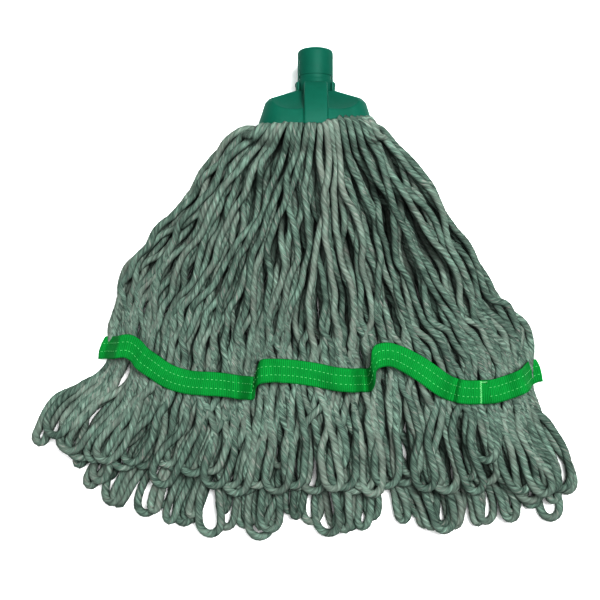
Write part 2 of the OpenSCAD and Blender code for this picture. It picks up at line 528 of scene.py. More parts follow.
@dataclass(frozen=True)
class RibbedTape(Finish):
    """Woven tape: fine ribs across it and a close weave."""

    name: str = "ribbed_tape"
    colour: tuple[float, float, float] = (0.010, 0.345, 0.083)
    deep: tuple[float, float, float] = (0.004, 0.185, 0.045)
    lint: tuple[float, float, float] = (0.10, 0.55, 0.18)
    rib_pitch: float = 0.0017
    weave_pitch: float = 0.00085

    def ridges(
        self, sh: Shader, distance: bpy.types.NodeSocket, pitch: float
    ) -> bpy.types.NodeSocket:
        """Ridges that rise from 0 to 1 and fall again once in each pitch.

        Args:
            sh: The shader.
            distance: Distance that they follow.
            pitch: Their pitch.

        Returns:
            Their height.
        """
        wave = sh.maths("SINE", sh.maths("MULTIPLY", distance, 2 * math.pi / pitch))
        return sh.maths("MULTIPLY_ADD", wave, 0.5, 0.5)

    def lay_nodes(self, sh: Shader) -> None:
        """Lay ribs and weave, with painted shade in their valleys; the UV map is in metres along
        and across the tape.
        """
        split = sh.node("ShaderNodeSeparateXYZ")
        sh.feed(split.inputs[0], sh.node("ShaderNodeUVMap", uv_map="tape").outputs["UV"])
        ribs = self.ridges(sh, split.outputs["X"], self.rib_pitch)
        ends = self.ridges(sh, split.outputs["Y"], self.weave_pitch)
        weave = sh.maths("MULTIPLY", sh.maths("POWER", ribs, 0.7), sh.maths("ADD", ends, 0.35))
        place = sh.object_place()
        patch = sh.noise(place, 70.0, 3.0, 0.6)
        lint = sh.noise(place, 1800.0, 2.0, 0.6)
        # Painted shade: the tape is darker in the valleys between its ribs and between the weave's
        # ends.
        colour = sh.mix(sh.remap(weave, 0.1, 1.0, 0.0, 1.0), self.deep, self.colour)
        colour = sh.mix(sh.remap(patch, 0.35, 0.7, 0.0, 0.35), colour, self.deep)
        colour = sh.mix(sh.remap(lint, 0.62, 0.72, 0.0, 0.3), colour, self.lint)
        normal = sh.bump(weave, 0.8, 0.00035)
        sh.set(Base_Color=colour, Roughness=0.62, Normal=normal, Specular_IOR_Level=0.12)


@dataclass(frozen=True)
class SewingThread(Finish):
    """Twisted sewing thread, pale green."""

    name: str = "sewing_thread"
    colour: tuple[float, float, float] = (0.26, 0.60, 0.30)
    deep: tuple[float, float, float] = (0.16, 0.42, 0.20)

    def lay_nodes(self, sh: Shader) -> None:
        """Lay the thread's twist."""
        place = sh.object_place()
        twist = sh.noise(place, 2400.0, 2.0, 0.5)
        tone = sh.mix(sh.remap(twist, 0.35, 0.7, 0.0, 1.0), self.colour, self.deep)
        sh.set(Base_Color=tone, Roughness=0.55, Normal=sh.bump(twist, 0.5, 0.0001))


@dataclass(frozen=True)
class ZincSteel(Finish):
    """Zinc-plated bar, faintly brushed."""

    name: str = "zinc_steel"
    colour: tuple[float, float, float] = (0.62, 0.63, 0.65)
    deep: tuple[float, float, float] = (0.5, 0.51, 0.53)

    def lay_nodes(self, sh: Shader) -> None:
        """Lay the brushing."""
        place = sh.object_place()
        brush = sh.noise(place, 900.0, 2.0, 0.5)
        tone = sh.mix(brush, self.colour, self.deep)
        sh.set(Base_Color=tone, Metallic=1.0, Roughness=sh.remap(brush, 0.3, 0.7, 0.28, 0.42))


@dataclass(frozen=True)
class TablePaint(Finish):
    """Plain pale table top."""

    name: str = "pale_table"
    colour: tuple[float, float, float] = (0.93, 0.93, 0.93)

    def lay_nodes(self, sh: Shader) -> None:
        """Set the paint."""
        sh.set(Base_Color=self.colour, Roughness=0.85, Specular_IOR_Level=0.2)


# ---------------------------------------------------------------------------
# Head: shell, sleeve and tabs
# ---------------------------------------------------------------------------


@dataclass
class MouldedHead:
    """The moulded pieces of the head, each refined from its CAD node's own shape."""

    voxel: float = 0.0006
    shell_smoothing: int = 7
    kept_faces: float = 0.45
    sleeve_edge: float = 0.00035
    sleeve_corner: float = 35.0
    weld: float = 2e-6
    flat: float = 1.0
    shell_plastic: MouldedPlastic = MouldedPlastic(
        "shell_plastic", (0.008, 0.128, 0.092), (0.005, 0.104, 0.072)
    )
    sleeve_plastic: MouldedPlastic = MouldedPlastic(
        "sleeve_plastic", (0.004, 0.122, 0.086), (0.002, 0.098, 0.068), 0.56
    )

    def merged_copy(self, node: str) -> bpy.types.Mesh:
        """A copy of a CAD node's mesh with its loose triangles joined and its flats cleaned.

        Args:
            node: Name of the CAD node.

        Returns:
            The new mesh.
        """
        bm = bmesh.new()
        bm.from_mesh(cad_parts[node].data)
        bmesh.ops.remove_doubles(bm, verts=bm.verts[:], dist=self.weld)
        bmesh.ops.dissolve_limit(
            bm, angle_limit=math.radians(self.flat), verts=bm.verts[:], edges=bm.edges[:]
        )
        return meshed(bm, node + "_moulded")

    def finished(self, piece: bpy.types.Object) -> None:
        """Apply a piece's modifiers to its mesh."""
        graph = bpy.context.evaluated_depsgraph_get()
        mesh = bpy.data.meshes.new_from_object(piece.evaluated_get(graph))
        piece.modifiers.clear()
        piece.data = mesh
        shade_smooth(mesh)

    def shell(self) -> bpy.types.Object:
        """Build the head shell with the soft edges that a moulding has.

        Returns:
            The piece.
        """
        piece = new_object("head_shell_moulding", self.merged_copy("head_shell"))
        remesh = piece.modifiers.new("voxels", "REMESH")
        remesh.mode = "VOXEL"
        remesh.voxel_size = self.voxel
        smooth = piece.modifiers.new("soft_edges", "SMOOTH")
        smooth.factor = 0.5
        smooth.iterations = self.shell_smoothing
        thin = piece.modifiers.new("thin_flats", "DECIMATE")
        thin.ratio = self.kept_faces
        self.finished(piece)
        dress(piece, self.shell_plastic.build())
        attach(piece, "root")
        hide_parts("head_shell")
        return piece

    def edged(
        self, node: str, name: str, material: bpy.types.Material, body: str
    ) -> bpy.types.Object:
        """Build a piece from its CAD node with small rounded edges.

        Args:
            node: CAD node that it replaces.
            name: Name of the piece.
            material: Its material.
            body: Body that it rides on.

        Returns:
            The piece.
        """
        piece = new_object(name, self.merged_copy(node))
        bevel = piece.modifiers.new("edges", "BEVEL")
        bevel.width = self.sleeve_edge
        bevel.segments = 3
        bevel.limit_method = "ANGLE"
        bevel.angle_limit = math.radians(self.sleeve_corner)
        self.finished(piece)
        dress(piece, material)
        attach(piece, body)
        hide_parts(node)
        return piece

    def build(self) -> list[bpy.types.Object]:
        """Build the shell, the sleeve and both tabs.

        Returns:
            The pieces.
        """
        plastic = self.sleeve_plastic.build()
        return [
            self.shell(),
            self.edged("handle_sleeve", "handle_sleeve_moulding", plastic, "root"),
            self.edged("release_tab_left", "tab_left_moulding", plastic, "tab_left"),
            self.edged("release_tab_right", "tab_right_moulding", plastic, "tab_right"),
        ]


# ---------------------------------------------------------------------------
# Tail band
# ---------------------------------------------------------------------------


@dataclass
class TailBand:
    """The ring of tape sewn round the flattened pile of yarn, with its stitching."""

    width: float = 0.0200
    thickness: float = 0.0009
    lap: float = 0.027
    lap_end_x: float = 0.146
    tack_x: float = 0.139
    side_x: tuple[float, float] = (-0.180, 0.190)
    under_z: float = 0.0006
    row_offset: float = 0.0036
    fold_width: float = 0.0050
    # A fold's reach before and after its place, as shares of fold_width
    fold_before: float = 1.5
    fold_after: float = 0.65
    # Place and depth of each fold between two bunches of yarn
    folds: tuple[tuple[float, float], ...] = (
        (-0.157, 0.0030), (-0.0540, 0.0105), (0.0435, 0.0105), (0.1165, 0.0045),
    )
    # How far along the yarn it is pressed and valleys run on from folds, and how wide and deep
    press_reach: float = 0.017
    valley_reach: float = 0.034
    valley_widen: float = 1.9
    valley_share: float = 0.8
    # How firmly the tape's ends hold the yarn between them
    gather: float = 1.7
    # Folds deeper than this turn the tape to lie along the yarn, over this far to each side
    deep_fold: float = 0.008
    fold_turn: float = 0.013
    # Where the tape starts to turn along the yarn at both sides of the fan, and over how far
    side_turn: tuple[float, float] = (0.026, 0.022)
    # How fast the yarn splays away from the middle of the fan
    splay: float = 1.6
    # Passes of smoothing that turn the tape's run into its calm run, above and beneath
    calm_above: int = 420
    calm_beneath: int = 30
    cells_across: int = 14
    spacing: float = 0.0016
    fine_spacing: float = 0.00043
    rib_pitch: float = 0.0017
    rib_height: float = 0.00013
    # Middle of the tape along the top of the pile, from left to right
    knots: tuple[tuple[float, float], ...] = (
        (-0.180, -0.0455), (-0.169, -0.0445), (-0.158, -0.0432), (-0.151, -0.0465),
        (-0.1445, -0.0532), (-0.1325, -0.0625), (-0.1205, -0.0697), (-0.106, -0.0735),
        (-0.0885, -0.0745), (-0.067, -0.0768), (-0.0575, -0.0790), (-0.0525, -0.0797),
        (-0.0500, -0.0700), (-0.0470, -0.0655), (-0.0400, -0.0640),
        (-0.026, -0.0640), (-0.003, -0.0670), (0.016, -0.0705), (0.038, -0.0722),
        (0.0455, -0.0722), (0.0480, -0.0610), (0.0505, -0.0530), (0.056, -0.0505), (0.064, -0.0505),
        (0.075, -0.055), (0.089, -0.063), (0.106, -0.075), (0.117, -0.080),
        (0.138, -0.082), (0.158, -0.079), (0.176, -0.071), (0.190, -0.065),
    )

    def top_line(self) -> np.ndarray:
        """Plan of the tape along the top of the pile.

        Returns:
            Rows of x and y, from left to right.
        """
        return respaced(spline_through(list(self.knots), 240), self.spacing)

    def under_line(self) -> np.ndarray:
        """Plan of the tape on the table under the pile, from right to left.

        Returns:
            Rows of x and y.
        """
        top = self.top_line()[::-1]
        return np.stack([top[:, 0], blurred(top[:, 1], self.calm_beneath)], axis=1)

    def across_at(self, x: np.ndarray) -> np.ndarray:
        """Direction across the tape: square to its calm run, and along the yarn at both ends.

        Args:
            x: Places across the fan.

        Returns:
            Unit rows of x, y and z.
        """
        top = self.top_line()
        calm = np.stack([top[:, 0], blurred(top[:, 1], self.calm_above)], axis=1)
        way = np.gradient(calm, axis=0)
        square = np.stack([-way[:, 1], way[:, 0]], axis=1)
        square /= np.linalg.norm(square, axis=1, keepdims=True)
        square = np.stack([np.interp(x, top[:, 0], column) for column in square.T], axis=1)
        edge = np.minimum(x - self.side_x[0], self.side_x[1] - x)
        share = smooth_step((self.side_turn[0] - edge) / self.side_turn[1])
        for fold, depth in self.folds:
            if depth > self.deep_fold:
                share = np.maximum(share, np.exp(-(((x - fold) / self.fold_turn) ** 2)))
        share = share[:, None]
        yarn = np.column_stack([-self.splay * x, np.ones(len(x))])
        yarn /= np.linalg.norm(yarn, axis=1, keepdims=True)
        plan = square * (1 - share) + yarn * share
        plan /= np.linalg.norm(plan, axis=1, keepdims=True)
        return np.column_stack([plan, np.zeros(len(x))])

    def fold_dip(self, x: np.ndarray, widen: float = 1.0) -> np.ndarray:
        """How far the tape dives into each fold between two bunches of yarn.

        Args:
            x: Places across the fan.
            widen: How much wider than the tape's own the dip is.

        Returns:
            The depth at each.
        """
        dip = np.zeros_like(x)
        for fold, depth in self.folds:
            reach = self.fold_width * widen * np.where(x > fold, self.fold_after, self.fold_before)
            dip += depth * np.exp(-(((x - fold) / reach) ** 2))
        return dip


# ---------------------------------------------------------------------------
# Yarn
# ---------------------------------------------------------------------------


@dataclass(frozen=True)
class Fan:
    """Plan of the spread yarn: u runs across it from edge to edge and s along it."""

    mouth_y: float = 0.1350
    end_y: float = -0.2010
    # How closely the strands between keep to the middle one's height rather than the edges'
    spread: float = 3.8
    # Middles of the outermost strands in millimetres, from the shell's mouth to the loop ends
    left: tuple[tuple[float, float], ...] = (
        (-40, 136), (-47, 135), (-54, 136), (-64, 132), (-79, 119.5), (-90, 106), (-99, 93),
        (-108, 80), (-118, 67), (-129, 53.5), (-139, 40), (-150, 26), (-158, 12), (-163, -2),
        (-167, -18), (-172, -35), (-177, -50), (-187, -65), (-203, -80), (-217, -94),
        (-225, -108), (-227, -116),
    )
    right: tuple[tuple[float, float], ...] = (
        (40, 137), (47, 137.5), (52, 137), (58, 131), (67, 118.5), (77.5, 105.5), (89, 92),
        (98, 79.5), (106, 66), (114.5, 52), (126, 38), (135, 24), (142, 9), (151, -3), (163, -15),
        (173, -28), (179, -45), (184, -65), (187, -85), (191.5, -104), (199, -119), (207, -132),
        (213, -146), (214, -162),
    )

    def edge(self, knots: tuple[tuple[float, float], ...], s: np.ndarray) -> np.ndarray:
        """Points along one edge of the fan.

        Args:
            knots: The edge's knots.
            s: Share of the way along it.

        Returns:
            Rows of x and y.
        """
        line = respaced(spline_through(list(knots), 300), 1.0) / 1000
        share = np.linspace(0.0, 1.0, len(line))
        return np.stack([np.interp(s, share, column) for column in line.T], axis=-1)

    def at(self, u: np.ndarray, s: np.ndarray) -> np.ndarray:
        """Plan position in the fan.

        Args:
            u: From -1 at the left edge to 1 at the right edge.
            s: From 0 at the shell's mouth to 1 at the longest loop ends.

        Returns:
            Rows of x and y.
        """
        away = np.abs(u)
        side = np.where((u < 0)[..., None], self.edge(self.left, s), self.edge(self.right, s))
        middle_y = self.mouth_y + (self.end_y - self.mouth_y) * s
        y = middle_y + away**self.spread * (side[..., 1] - middle_y)
        return np.stack([away * side[..., 0], y], axis=-1)


@dataclass
class Strand:
    """One loop of yarn: its centreline and its radius along it."""

    row: int
    column: int
    line: np.ndarray
    radius: np.ndarray
    tone: float
    phase: float


class Heights:
    """Height of the pile so far on a grid over the table, for laying strands on it."""

    def __init__(self, cell: float = 0.001) -> None:
        """Start with a bare table.

        Args:
            cell: Size of a grid cell, in metres.
        """
        self.cell = cell
        self.low = np.array([-0.262, -0.232])
        self.shape = (524, 404)
        self.top = np.zeros(self.shape)

    def cells(self, points: np.ndarray) -> tuple[np.ndarray, np.ndarray]:
        """Grid cells of plan points.

        Args:
            points: Rows that start with x and y.

        Returns:
            Their cell numbers along x and y.
        """
        place = np.rint((points[:, :2] - self.low) / self.cell).astype(int)
        return (
            np.clip(place[:, 0], 6, self.shape[0] - 7),
            np.clip(place[:, 1], 6, self.shape[1] - 7),
        )

    def disc(self, radius: float) -> list[tuple[int, int, float]]:
        """Cells under a round strand and the height of its surface over its middle.

        Args:
            radius: The strand's radius.

        Returns:
            Cell steps along x and y with that height.
        """
        reach = int(radius / self.cell)
        found = []
        for i in range(-reach, reach + 1):
            for j in range(-reach, reach + 1):
                away = math.hypot(i, j) * self.cell
                if away < radius:
                    found.append((i, j, math.sqrt(radius * radius - away * away)))
        return found

    def resting(self, points: np.ndarray, radius: float, firm: float) -> np.ndarray:
        """Height at which a strand's middle rests on the pile.

        Args:
            points: Plan points of the strand.
            radius: Its radius.
            firm: From 0 to 1, how little it gives where it lies on others.

        Returns:
            A height for each point.
        """
        i, j = self.cells(points)
        rest = np.full(len(points), radius)
        for di, dj, rise in self.disc(radius):
            rest = np.maximum(rest, self.top[i + di, j + dj] + firm * rise)
        return rest

    def add(self, line: np.ndarray, radius: float) -> None:
        """Lay a strand on the pile.

        Args:
            line: Its centreline.
            radius: Its radius.
        """
        i, j = self.cells(line)
        for di, dj, rise in self.disc(radius):
            np.maximum.at(self.top, (i + di, j + dj), line[:, 2] + rise)

    def read(self, points: np.ndarray) -> np.ndarray:
        """Height of the pile at plan points."""
        i, j = self.cells(points)
        return self.top[i, j]


@dataclass
class Lid:
    """Greatest heights of the strands' upper sides, on the pile's grid."""

    hard: np.ndarray
    soft: np.ndarray


@dataclass(frozen=True)
class LoopShape:
    """How the loops are shaped and differ; pairs are a least and a most unless said otherwise.

    Places and lengths along a loop are shares of the fan's length, and widths are in metres.
    """

    # Size, turns along and across the fan, and turn from row to row, of waves that rows share
    shared_waves: tuple[tuple[float, float, float, float], ...] = (
        (0.0030, 1.7, 1.9, 1.3), (0.0014, 4.1, -3.2, 2.1),
    )
    # Size and number of each leg's own waves, and how far their sizes vary
    own_waves: tuple[tuple[float, float], ...] = (
        (0.0030, 2.2), (0.0017, 5.5), (0.0008, 11.0), (0.00035, 21.0),
    )
    own_size: tuple[float, float] = (0.4, 1.3)
    wave_start: float = 0.14
    # Where the loops end: those at the sides reach further, those of the upper rows less far
    end: float = 0.969
    end_spread: float = 0.013
    end_limits: tuple[float, float] = (-0.03, 0.02)
    side_reach: float = 0.020
    upper_short: float = 0.115
    upper_short_sides: float = 0.75
    stray_chance: float = 0.12
    stray_short: tuple[float, float] = (0.02, 0.06)
    # Half the width of the turn at the end, and the narrower neck before it
    upper_bulb: tuple[float, float] = (0.0060, 0.0128)
    lower_bulb: tuple[float, float] = (0.0050, 0.0095)
    narrow_bulb: tuple[float, float] = (0.0034, 0.0048)
    narrow_chance: float = 0.45
    least_neck: float = 0.0034
    neck_share: tuple[float, float] = (0.35, 0.85)
    crossed_chance: float = 0.14
    # Spread of the outward turn of the ends, and greatest size of the curls above the tape
    flare: float = 0.0085
    slack: float = 0.0042
    curl_place: tuple[float, float] = (0.53, 0.06)
    curl_length: float = 0.0048
    fan_length: float = 0.34
    # Spread of the legs' places across the fan at the mouth and at the tape
    mouth_jitter: float = 0.085
    tape_jitter: float = 0.012
    # Greatest place across the fan, and how far the turn at the end is drawn out
    side_limit: float = 1.02
    turn_length: float = 1.15


@dataclass
class YarnPile:
    """All the loops of yarn, laid one by one from the table up."""

    rows: int = 11
    pairs: int = 10
    radius: float = 0.00295
    plies: int = 4
    sides: int = 16
    ply_depth: float = 0.055
    fluff: float = 0.17
    ply_pitch: float = 0.0235
    ring_spacing: float = 0.0027
    step: float = 0.002
    mouth_low: float = 0.0115
    mouth_high: float = 0.0495
    tuck: float = 0.006
    settle: float = 0.060
    declared: int = 40
    band_height: float = 0.033
    mouth_height: float = 0.058
    lower_rows: int = 6
    # Lowest that a centreline may lie, as a share of the radius
    table_share: float = 0.9
    hanks: int = 6
    shape: LoopShape = LoopShape()
    fan: Fan = field(default_factory=Fan)
    strands: list[Strand] = field(default_factory=list)
    grid: Heights | None = None

    def wander(self, s: np.ndarray, rng: np.random.Generator, row: int, u: float) -> np.ndarray:
        """Sideways wander of one leg of a loop from its smooth line.

        Args:
            s: Places along the leg.
            rng: Source of its own small waves.
            row: Its row, which neighbours share.
            u: Its place across the fan.

        Returns:
            Sideways distances in metres.
        """
        shared, own = np.zeros_like(s), np.zeros_like(s)
        for size, along, across, by_row in self.shape.shared_waves:
            shared += size * np.sin(6.3 * (along * s + across * u) + by_row * row)
        for size, waves in self.shape.own_waves:
            turn = rng.uniform(0, 2 * math.pi)
            size *= rng.uniform(*self.shape.own_size)
            own += size * np.sin(2 * math.pi * waves * s + turn)
        return (shared + own) * smooth_step(s / self.shape.wave_start)

    def leg(self, s: np.ndarray, u: np.ndarray, sideways: np.ndarray) -> np.ndarray:
        """Plan line of one leg.

        Args:
            s: Places along the fan.
            u: Place across the fan at each.
            sideways: Extra sideways distance at each.

        Returns:
            Rows of x and y.
        """
        line = self.fan.at(u, s)
        heading = np.gradient(line, axis=0)
        heading /= np.maximum(np.linalg.norm(heading, axis=1, keepdims=True), 1e-9)
        normal = np.stack([-heading[:, 1], heading[:, 0]], axis=1)
        return line + normal * sideways[:, None]

    @staticmethod
    def crowded(u: float) -> float:
        """Move a place in the fan towards its nearer edge, where more strands lie."""
        return 0.82 * u + 0.18 * math.sin(1.461 * u) / math.sin(1.461)

    def plan_loop(self, row: int, pair: int, rng: np.random.Generator) -> tuple[np.ndarray, int]:
        """Plan line of a whole loop, out of the mouth and back.

        Args:
            row: Its row, from 0 on the table.
            pair: Its place across the row.
            rng: Source of its small differences.

        Returns:
            Rows of x and y, and the index of the middle of its turn.
        """
        shape = self.shape
        level = row / (self.rows - 1)
        columns = 2 * self.pairs
        stagger = ((row * 0.618) % 1.0) * 2 - 1
        across = [(2 * pair + leg + 0.5 + stagger) / columns * 2 - 1 for leg in (0, 1)]
        across = [float(np.clip(self.crowded(a * 1.02), -1.0, 1.0)) for a in across]
        middle = 0.5 * sum(across)
        upper = row >= self.lower_rows
        short = 0.0
        if upper:
            at_side = smooth_step((abs(middle) - 0.70) / 0.25)
            short = shape.upper_short * (1 - shape.upper_short_sides * at_side)
        reach = shape.side_reach * float(smooth_step((abs(middle) - 0.40) / 0.30))
        spread = float(np.clip(rng.normal(0, shape.end_spread), *shape.end_limits))
        end = shape.end + reach - short + spread
        if upper and rng.random() < shape.stray_chance:
            end -= rng.uniform(*shape.stray_short)
        near = np.array([middle - 0.01, middle + 0.01])
        span = float(np.linalg.norm(np.diff(self.fan.at(near, np.full(2, end)), axis=0))) / 0.02
        if upper:
            bulb = rng.uniform(*shape.upper_bulb)
        elif rng.random() < shape.narrow_chance:
            bulb = rng.uniform(*shape.narrow_bulb)
        else:
            bulb = rng.uniform(*shape.lower_bulb)
        neck = max(shape.least_neck, bulb * rng.uniform(*shape.neck_share)) / span
        bulb /= span
        crossed = rng.random() < shape.crossed_chance
        flare = rng.normal(0, shape.flare)
        slack = rng.uniform(0.0, shape.slack) * smooth_step((level - 0.4) / 0.4)
        turns = rng.uniform(0, 2 * math.pi)
        s = np.linspace(0.0, end, 190)
        lines = []
        for side, u_tape in zip((-1.0, 1.0), across):
            jitter = rng.normal(0, shape.mouth_jitter)
            u_mouth = float(np.clip(u_tape + jitter, -1.0, 1.0))
            if row == self.rows - 1:
                # The top row lies evenly along the rim
                u_mouth = (2 * pair + (side + 1) / 2 + 0.5) / self.pairs - 1
            u_tape += rng.normal(0, shape.tape_jitter)
            u = u_mouth + (u_tape - u_mouth) * smooth_step(s / 0.5)
            gap = neck + (bulb - neck) * smooth_step((s - end + 0.155) / 0.125)
            sign = np.ones_like(s)
            if crossed:
                sign = np.cos(math.pi * smooth_step((s - end + 0.26) / 0.15))
            target = middle + side * gap * sign
            u = u + (target - u) * smooth_step((s - 0.60) / max(0.10, end - 0.10 - 0.60))
            u = np.clip(u, -shape.side_limit, shape.side_limit)
            calm = 1 - 0.7 * smooth_step((s - end + 0.12) / 0.1)
            drift = self.wander(s, rng, row, u_tape) * calm
            drift = drift + flare * np.clip((s - 0.62) / 0.38, 0, 1) ** 2
            curl = np.exp(-(((s - shape.curl_place[0]) / shape.curl_place[1]) ** 2))
            curl = np.sin(s * shape.fan_length / shape.curl_length + turns + side) * curl
            lines.append(self.leg(s, u, drift + slack * curl))
        return self.joined(lines[0], lines[1][::-1])

    def joined(self, out: np.ndarray, back: np.ndarray) -> tuple[np.ndarray, int]:
        """Join two legs with a turn.

        Args:
            out: Rows of x and y of the leg that leaves the mouth.
            back: Rows of x and y of the leg that goes back to it.

        Returns:
            Rows of x and y, and the index of the middle of the turn.
        """
        centre = 0.5 * (out[-1] + back[0])
        arm = out[-1] - centre
        ahead = (out[-1] - out[-4]) + (back[0] - back[3])
        ahead -= arm * (ahead @ arm) / max(arm @ arm, 1e-12)
        ahead *= np.linalg.norm(arm) / max(np.linalg.norm(ahead), 1e-9)
        turn = np.linspace(0, math.pi, 14)[1:-1]
        bend = centre + np.outer(np.cos(turn), arm)
        bend = bend + np.outer(np.sin(turn), ahead) * self.shape.turn_length
        even = respaced(np.vstack([out, bend, back]), self.step)
        even = np.stack([blurred(column, 3) for column in even.T], axis=1)
        half = int(np.argmin(np.linalg.norm(even - bend[len(bend) // 2], axis=1)))
        return even, half

    def lay(self, plan: np.ndarray, half: int, row: int, pile: Heights) -> np.ndarray:
        """Lay a loop on the pile, one leg after the other.

        Args:
            plan: Its plan line.
            half: Index of the middle of its turn.
            row: Its row.
            pile: The pile so far, which it is added to.

        Returns:
            Rows of x, y and z.
        """
        radius = self.radius * 0.95
        line = np.column_stack([plan, np.zeros(len(plan))])
        level = row / (self.rows - 1)
        mouth_z = self.mouth_low + (self.mouth_high - self.mouth_low) * level
        clear = 8
        for part in (slice(0, half), slice(half, len(plan))):
            pts = line[part]
            need = pile.resting(pts, radius, 0.72)
            z = blurred(need, 3)
            for _ in range(10):
                z = np.maximum(need - 0.0006, blurred(z, 2))
            line[part, 2] = z
            if part.start == 0:
                pile.add(line[: max(2, half - clear)], radius)
        join = slice(max(0, half - 12), min(len(plan), half + 12))
        line[join, 2] = blurred(line[join, 2], 30)
        pile.add(line, radius)
        along = arc_lengths(line[:, :2])
        from_mouth = np.minimum(along, along[-1] - along)
        share = smooth_step(from_mouth / self.settle)
        hump = 0.006 * max(0.0, level - 0.6) / 0.4 * np.exp(-(((from_mouth - 0.010) / 0.008) ** 2))
        if row == self.rows - 1:
            hump = 0.0115 * np.exp(-(((from_mouth - 0.004) / 0.030) ** 2))
        line[:, 2] = line[:, 2] * share + (mouth_z + hump) * (1 - share) + hump * share
        return line

    def tucked(self, strand: Strand) -> np.ndarray:
        """Carry both ends of a loop up into the shell; the top row first bulges over its rim.

        Args:
            strand: The loop.

        Returns:
            Its longer centreline.
        """
        line = strand.line
        over = strand.row == self.rows - 1
        ends = []
        for side, part in enumerate((line[:40], line[:-41:-1])):
            x, y, z = part[0]
            if not over:
                ends.append(np.array([[x * 0.93, y + self.tuck, z + 0.1 * (0.0305 - z)]]))
                continue
            bulge = 0.0004 + 0.0050 * smooth_step((x + 0.002) / 0.016)
            bulge += 0.0009 * math.sin(700 * x + 3.0 * side + strand.phase)
            keep = int(np.argmax(np.linalg.norm(part[:, :2] - part[0, :2], axis=1) > 0.020))
            lean = (part[keep][0] - x) / 0.020
            far = x * 1.09 + 0.0008 * math.sin(1900 * x + strand.phase)
            knots = [
                (x * 0.96, 0.1400, 0.0400), (x * 0.98, 0.1360, 0.0455), (x, 0.1326, 0.0520),
                (far - lean * 0.003, 0.1322, 0.0590), (far, 0.1348 + bulge, 0.0628),
                (far + lean * 0.0045, 0.1315 + 0.8 * bulge, 0.0640),
                (far + lean * 0.0100, 0.1255, 0.0630),
            ]
            ends.append(np.vstack([spline_through(knots, 60)[::2], part[keep : keep + 1]]))
            if side == 0:
                first = keep
            else:
                last = keep
        if not over:
            return np.vstack([ends[0], line, ends[1]])
        return np.vstack([ends[0], line[first + 1 : len(line) - last - 1], ends[1][::-1]])

    def build_lines(self, band: "TailBand") -> Heights:
        """Lay every loop and keep its centreline.

        Args:
            band: The tail band, which presses the pile down where it is sewn.

        Returns:
            The height of the finished pile.
        """
        rng = np.random.default_rng(SEED)
        pile = self.grid = Heights()
        under = band.under_line()
        under = np.column_stack([under, np.zeros(len(under))])
        for shift in np.linspace(-0.5, 0.5, 9) * band.width:
            strip = under + np.array([0.0, shift, band.under_z + band.thickness - 0.0008])
            pile.add(strip, 0.0012)
        for row in range(self.rows):
            for pair in rng.permutation(self.pairs).tolist():
                plan, half = self.plan_loop(row, pair, rng)
                line = self.lay(plan, half, row, pile)
                tone, phase = rng.uniform(-1, 1), rng.uniform(0, 6.28)
                self.strands.append(Strand(row, pair, line, np.empty(0), tone, phase))
        return pile

    def squash(self) -> None:
        """Settle the whole pile to the height that it has where it is thickest."""
        grid = self.grid
        grid.top[:] = 0.0
        for strand in self.strands:
            grid.add(strand.line, self.radius)
        top = grid.top.copy()
        for _ in range(5):
            for axis in (0, 1):
                top = np.maximum(top, np.maximum(np.roll(top, 1, axis), np.roll(top, -1, axis)))
        for _ in range(40):
            for axis in (0, 1):
                top = 0.5 * top + 0.25 * (np.roll(top, 1, axis) + np.roll(top, -1, axis))
        y = grid.low[1] + np.arange(grid.shape[1]) * grid.cell
        near = 1 - smooth_step((0.120 - y) / 0.170)
        cap = self.band_height + (self.mouth_height - self.band_height) * near
        share = np.minimum(1.0, cap[None, :] / np.maximum(top, 0.001))
        for strand in self.strands:
            i, j = grid.cells(strand.line)
            scale = blurred(share[i, j], 6)
            lowest = self.radius * self.table_share
            strand.line[:, 2] = np.maximum(strand.line[:, 2] * scale, lowest)
        grid.top *= share

    def press_under(self, band: "TailBand", lid: "Lid") -> None:
        """Press the strands down under the sewn tape, easing off on both sides of it.

        Args:
            band: The tail band.
            lid: How high strands may reach beneath the tape and beside it.
        """
        top = band.top_line()
        margin = (1 + self.fluff) * self.radius + 0.002
        low, high = band.side_x[0] + margin, band.side_x[1] - margin
        for strand in self.strands:
            line = strand.line
            from_tape = line[:, 1] - np.interp(line[:, 0], top[:, 0], top[:, 1])
            near = np.exp(-((from_tape / band.press_reach) ** 2))
            held = np.clip(line[:, 0], low, high)
            line[:, 0] += (held - line[:, 0]) * np.clip(band.gather * near, 0, 1)
            line[:, 0] = blurred(line[:, 0], 3)
            valley = np.exp(-((from_tape / band.valley_reach) ** 2))
            valley = band.fold_dip(line[:, 0], band.valley_widen) * valley
            i, j = self.grid.cells(line)
            pressed = line[:, 2] - band.valley_share * valley
            pressed = np.minimum(pressed, lid.soft[i, j] - self.radius)
            pressed = np.minimum(blurred(pressed, 6), lid.hard[i, j] - self.radius)
            line[:, 2] = np.maximum(blurred(pressed, 1), self.radius * self.table_share)

    def finish_lines(self) -> None:
        """Space each centreline evenly and work out the radius along it."""
        for strand in self.strands:
            line = respaced(self.tucked(strand), 0.0012)
            line = np.stack([blurred(column, 5) for column in line.T], axis=1)
            line = respaced(line, self.ring_spacing)
            along = arc_lengths(line)
            from_mouth = np.minimum(along, along[-1] - along)
            least = 0.84 if strand.row == self.rows - 1 else 0.74
            squeeze = least + (1 - least) * smooth_step(from_mouth / 0.050)
            squeeze = squeeze + self.fluff * smooth_step((from_mouth - 0.17) / 0.12)
            plump = 1.0 + 0.035 * np.sin(along / 0.021 + strand.phase)
            strand.radius = self.radius * squeeze * plump
            line[:, 2] = np.maximum(line[:, 2], strand.radius)
            strand.line = line

